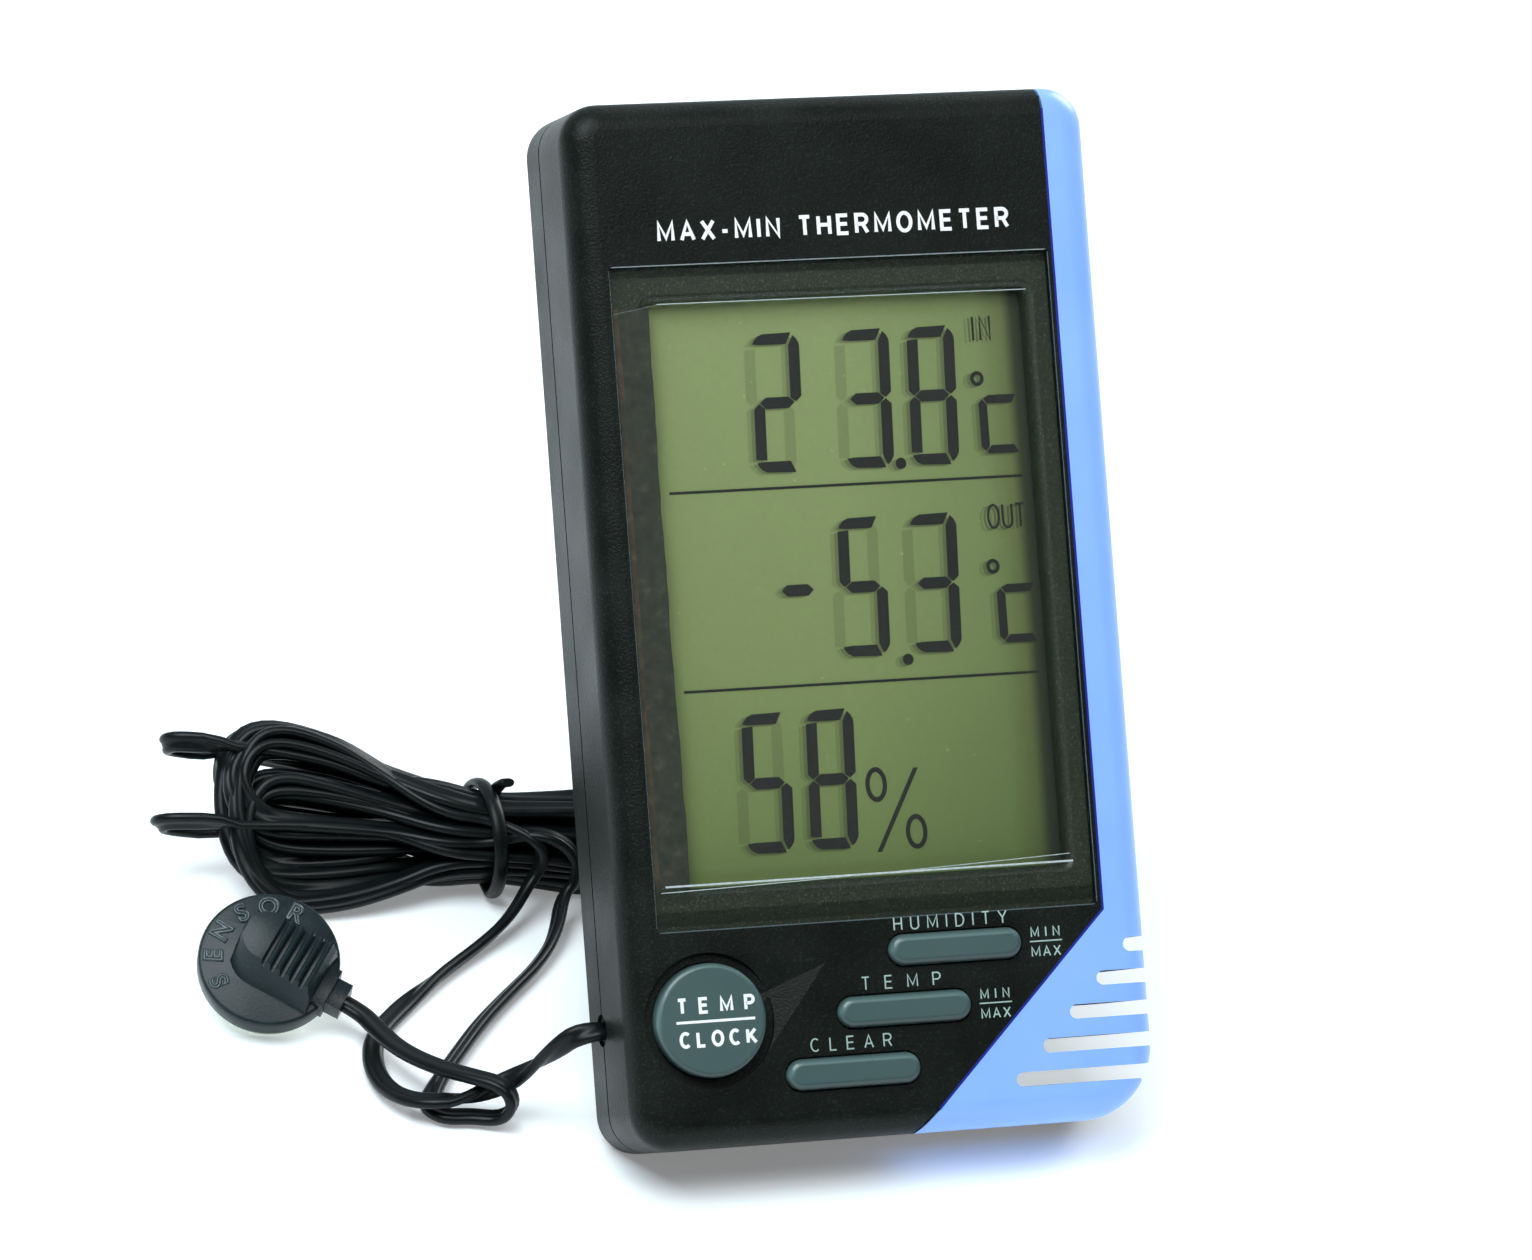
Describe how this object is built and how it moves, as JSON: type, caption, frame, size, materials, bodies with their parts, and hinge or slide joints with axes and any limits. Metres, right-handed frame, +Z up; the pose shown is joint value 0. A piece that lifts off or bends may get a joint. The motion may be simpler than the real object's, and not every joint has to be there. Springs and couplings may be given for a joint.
{
  "type": "maximum minimum thermometer",
  "caption": "Digital maximum-minimum thermometer and hygrometer on a fold-out stand, with a disc-shaped outdoor sensor on a coiled twin lead.",
  "frame": {"origin": "centre of the standing instrument's bounding box in plan, on the surface it stands on; the outdoor sensor and its lead are not counted", "axes": "+Z up, the longest extent; +X to the right seen from the front, along the case's width; the display faces -Y and leans back"},
  "size_m": [0.0954, 0.0821, 0.0981],
  "materials": {
    "case_plastic": "fine texture",
    "trim_plastic": "satin",
    "lens_plastic": "polished",
    "bezel_plastic": "fine texture",
    "lcd_glass": "polished",
    "lcd_reflector": "satin",
    "zebra_rubber": "matte",
    "board_laminate": "satin",
    "black_resin": "glossy",
    "bright_metal": "satin",
    "spring_steel": "nickel plated",
    "component_ceramic": "matte",
    "switch_plastic": "matte",
    "plunger_plastic": "satin",
    "sensor_white": "matte",
    "bead_epoxy": "glossy",
    "key_plastic": "satin",
    "cell_jacket": "glossy",
    "stand_plastic": "satin",
    "soft_bush": "matte",
    "lead_pvc": "satin",
    "core_pvc": "satin",
    "tie_pvc": "satin",
    "sensor_plastic": "satin",
    "pad_foam": "matte"
  },
  "bodies": {
    "case": {"front_shell": "case_plastic", "vent_trim": "trim_plastic", "rear_cover": "case_plastic", "display_lens": "lens_plastic", "display_bezel": "bezel_plastic", "lcd_front_glass": "lcd_glass", "lcd_rear_glass": "lcd_glass", "lcd_reflector": "lcd_reflector", "zebra_strips": "zebra_rubber", "circuit_board": "board_laminate", "controller_blob": "black_resin", "watch_crystal": "bright_metal", "board_components": "component_ceramic", "board_screws": "bright_metal", "case_screws": "bright_metal", "key_switches": "switch_plastic", "humidity_sensor": "sensor_white", "room_thermistor": "bead_epoxy", "unit_switch_body": "bright_metal", "battery_cell": "cell_jacket", "battery_contact_positive": "spring_steel", "battery_contact_negative": "spring_steel", "battery_spring": "spring_steel", "stand_pin": "bright_metal", "cable_grommet": "soft_bush", "lead_inner_wires": "core_pvc", "lead_device_leg": "lead_pvc", "lead_sensor_leg": "lead_pvc", "lead_hank": "lead_pvc", "hank_tie": "tie_pvc", "sensor_shell": "sensor_plastic", "sensor_pad": "pad_foam", "sensor_thermistor": "bead_epoxy"},
    "key_temp_clock": {"button_temp_clock": "key_plastic", "plunger_temp_clock": "plunger_plastic"},
    "key_humidity": {"button_humidity": "key_plastic", "plunger_humidity": "plunger_plastic"},
    "key_temp": {"button_temp": "key_plastic", "plunger_temp": "plunger_plastic"},
    "key_clear": {"button_clear": "key_plastic", "plunger_clear": "plunger_plastic"},
    "door": {"battery_door": "case_plastic"},
    "stand": {"kickstand": "stand_plastic"},
    "unit_knob": {"unit_switch_knob": "switch_plastic"}
  },
  "joints": [
    {"name": "press_temp_clock", "type": "slide", "parent": "case", "child": "key_temp_clock", "axis": [0, 0.829, -0.5592], "range_m": [0, 0.0008], "stiffness_N_per_m": 1200, "springref_m": -0.0003},
    {"name": "press_humidity", "type": "slide", "parent": "case", "child": "key_humidity", "axis": [0, 0.829, -0.5592], "range_m": [0, 0.0008], "stiffness_N_per_m": 1200, "springref_m": -0.0003},
    {"name": "press_temp", "type": "slide", "parent": "case", "child": "key_temp", "axis": [0, 0.829, -0.5592], "range_m": [0, 0.0008], "stiffness_N_per_m": 1200, "springref_m": -0.0003},
    {"name": "press_clear", "type": "slide", "parent": "case", "child": "key_clear", "axis": [0, 0.829, -0.5592], "range_m": [0, 0.0008], "stiffness_N_per_m": 1200, "springref_m": -0.0003},
    {"name": "door_slide", "type": "slide", "parent": "case", "child": "door", "axis": [0, 0.5592, 0.829], "range_m": [0, 0.017]},
    {"name": "stand_hinge", "type": "hinge", "parent": "case", "child": "stand", "pos_m": [0, 0.00683, 0.04809], "axis": [1, 0, 0], "range_deg": [-46, 0]},
    {"name": "unit_slide", "type": "slide", "parent": "case", "child": "unit_knob", "axis": [1, 0, 0], "range_m": [0, 0.002]}
  ]
}
